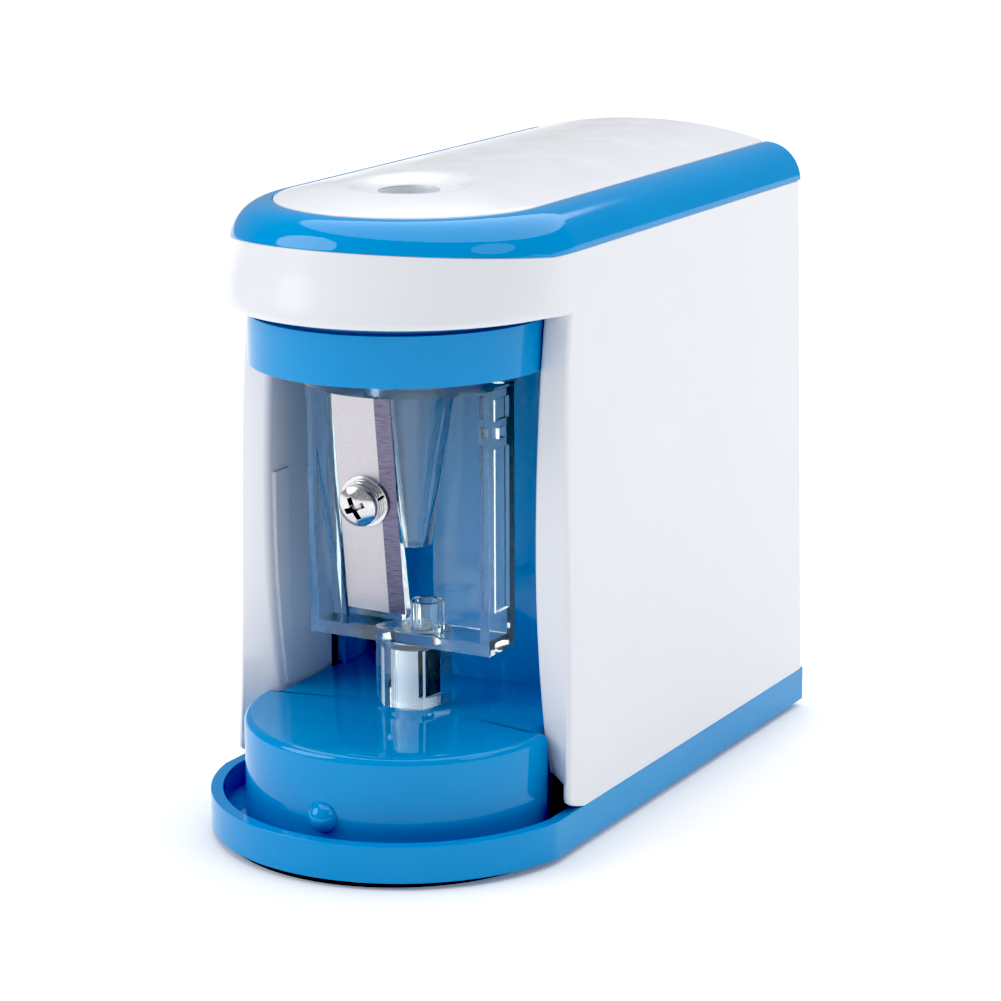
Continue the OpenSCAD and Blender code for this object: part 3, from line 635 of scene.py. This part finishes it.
def make_plinth(material):
    turns = [math.atan2(y - HOLE_Y, x) for x, y in plinth_outline(0.0)]

    def hole_at(radius, z):
        return [(radius * math.cos(t), HOLE_Y + radius * math.sin(t), z) for t in turns]

    def level(inset, z):
        return [(x, y, z) for x, y in plinth_outline(inset)]

    edge = 1.1
    wall = 1.6
    rings = [level(wall, PLINTH_Z0), level(0.0, PLINTH_Z0), level(0.0, PLINTH_Z0 + 1.0)]
    for i in range(7):
        a = math.radians(15.0 * i)
        rings.append(level(edge * (1.0 - math.cos(a)), PLINTH_Z1 - edge * (1.0 - math.sin(a))))
    rings += [hole_at(SHAFT_HOLE_R + 0.9, PLINTH_Z1), hole_at(SHAFT_HOLE_R + 0.3, PLINTH_Z1)]
    rings += [hole_at(SHAFT_HOLE_R, PLINTH_Z1 - 0.3), hole_at(SHAFT_HOLE_R, PLINTH_Z1 - wall)]
    rings += [level(wall, PLINTH_Z1 - wall), rings[0]]
    shape = Shape()
    shape.loft(rings, caps=False)
    dome = []
    for i in range(13):
        a = math.radians(7.5 * i)
        row = arc(0.0, BUMP_Z, max(0.01, BUMP_R * math.cos(a)), 0.0, 352.5, 48)
        dome.append([(x, PLINTH_Y - PLINTH_R + 0.5 - BUMP_R * math.sin(a), z) for x, z in row])
    shape.loft(dome)
    plinth = shape.piece("plinth", material, "housing", sharp=40.0)
    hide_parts("gear_cover")


# ---------------------------------------------------------------- CAD nodes

# Node name: radius of its rounded edges, in mm
EDGE_RADIUS = {
    "base_tray": 0.35, "top_trim": 0.2,
    "bearing_ring": 0.45, "back_wall": 0.2, "cutter_frame": 0.25, "front_foot": 0.15, "rear_feet": 0.2,
    "blade_screw": 0.12, "flat_washer": 0.1, "spring_washer": 0.1, "battery_door": 0.35,
    "battery_box": 0.3, "inlet_tube": 0.2, "motor_can": 0.5, "drive_shaft": 0.15,
}
SHARP = math.radians(25.0)         # edges sharper than this are rounded
FLAT = math.radians(0.4)           # faces within this are one face
# Node that looks a little different from the rest of its material: the screw, whose steel has painted
# shade in its recesses
LOOKS = {"blade_screw": "screw_steel"}


def round_edges(node, radius):
    """Welds the node's mesh, joins its flat triangles and rounds its edges, all as modifiers."""
    weld = node.modifiers.new("weld", "WELD")
    weld.merge_threshold = SAME_POINT
    flat = node.modifiers.new("flat", "DECIMATE")
    flat.decimate_type = "DISSOLVE"
    flat.angle_limit = FLAT
    edges = node.modifiers.new("edges", "BEVEL")
    edges.width = radius * MM
    edges.segments = 3
    edges.limit_method = "ANGLE"
    edges.angle_limit = SHARP
    edges.use_clamp_overlap = True
    edges.harden_normals = False
    shade = node.modifiers.new("shade", "WEIGHTED_NORMAL")
    shade.keep_sharp = True


def smooth(node):
    """Smooth shading, without the normals that the import brought."""
    mesh = node.data
    if "custom_normal" in mesh.attributes:
        mesh.attributes.remove(mesh.attributes["custom_normal"])
    mesh.polygons.foreach_set("use_smooth", [True] * len(mesh.polygons))
    mesh.update()


def dress_nodes(materials):
    slots = {s["node"]: s["material_slot"] for s in frame["record"]["subparts"]}
    for name, node in nodes.items():
        node.data.materials.clear()
        node.data.materials.append(materials[LOOKS.get(name, slots[name])])
        smooth(node)
        if name in EDGE_RADIUS:
            round_edges(node, EDGE_RADIUS[name])


# ---------------------------------------------------------------- stage

FLOOR_SIZE = 8.0         # metres from the middle to each side
FLOOR_GLOW = 0.1         # the floor's own light, which softens the shadows
SURROUND = 0.36          # brightness of the plain surround
CLEAR_SURROUND = 1.6     # and for rays that have passed through the clear plastic
BLACK_LEVEL = 0.03


def make_stage():
    mesh = bpy.data.meshes.new("floor")
    corners = [(FLOOR_SIZE * x, FLOOR_SIZE * y, 0.0) for x, y in ((-1, -1), (1, -1), (1, 1), (-1, 1))]
    mesh.from_pydata(corners, [], [(0, 1, 2, 3)])
    floor = bpy.data.objects.new("floor", mesh)
    bpy.context.scene.collection.objects.link(floor)
    material, _, _, shader = new_material("pale_floor")
    shader.inputs["Base Color"].default_value = (0.94, 0.94, 0.94, 1.0)
    shader.inputs["Emission Color"].default_value = (1.0, 1.0, 1.0, 1.0)
    shader.inputs["Emission Strength"].default_value = FLOOR_GLOW
    shader.inputs["Roughness"].default_value = 0.7
    shader.inputs["Specular IOR Level"].default_value = 0.1
    mesh.materials.append(material)


def sun(name, azimuth, height, strength, angle):
    """A large, far softbox, seen from the object at azimuth (0 is the front, 90 the right) and height."""
    data = bpy.data.lights.new(name, "SUN")
    data.energy = strength
    data.angle = math.radians(angle)
    lamp = bpy.data.objects.new(name, data)
    bpy.context.scene.collection.objects.link(lamp)
    a = math.radians(azimuth)
    e = math.radians(height)
    towards = Vector((math.sin(a) * math.cos(e), -math.cos(a) * math.cos(e), math.sin(e)))
    lamp.rotation_mode = "QUATERNION"
    lamp.rotation_quaternion = towards.to_track_quat("Z", "Y")


def make_light():
    world = bpy.data.worlds.new("studio")
    bpy.context.scene.world = world
    world.use_nodes = True
    made = world.node_tree.nodes
    links = world.node_tree.links
    backdrop = made["Background"]
    backdrop.inputs["Color"].default_value = (1.0, 1.0, 1.0, 1.0)
    backdrop.inputs["Strength"].default_value = SURROUND
    behind_clear = made.new("ShaderNodeBackground")
    behind_clear.inputs["Strength"].default_value = CLEAR_SURROUND
    path = made.new("ShaderNodeLightPath")
    either = made.new("ShaderNodeMixShader")
    links.new(path.outputs["Is Transmission Ray"], either.inputs["Fac"])
    links.new(backdrop.outputs["Background"], either.inputs[1])
    links.new(behind_clear.outputs["Background"], either.inputs[2])
    links.new(either.outputs["Shader"], made["World Output"].inputs["Surface"])
    sun("left_softbox", -52.0, 32.0, 1.12, 40.0)
    sun("right_softbox", 85.0, 32.0, 0.2, 26.0)
    sun("top_softbox", 172.0, 70.0, 2.3, 84.0)
    view = bpy.context.scene.view_settings
    view.view_transform = "Standard"
    view.use_curve_mapping = True
    view.curve_mapping.black_level = [BLACK_LEVEL] * 3
    view.curve_mapping.update()


make_camera()
make_light()
make_stage()
MATERIALS = make_materials()
dress_nodes(MATERIALS)
make_shell(MATERIALS["white"])
make_plate(MATERIALS["white"])
make_plinth(MATERIALS["blue"])
make_blade(MATERIALS["blade_steel"], MATERIALS["blade_bevel"])
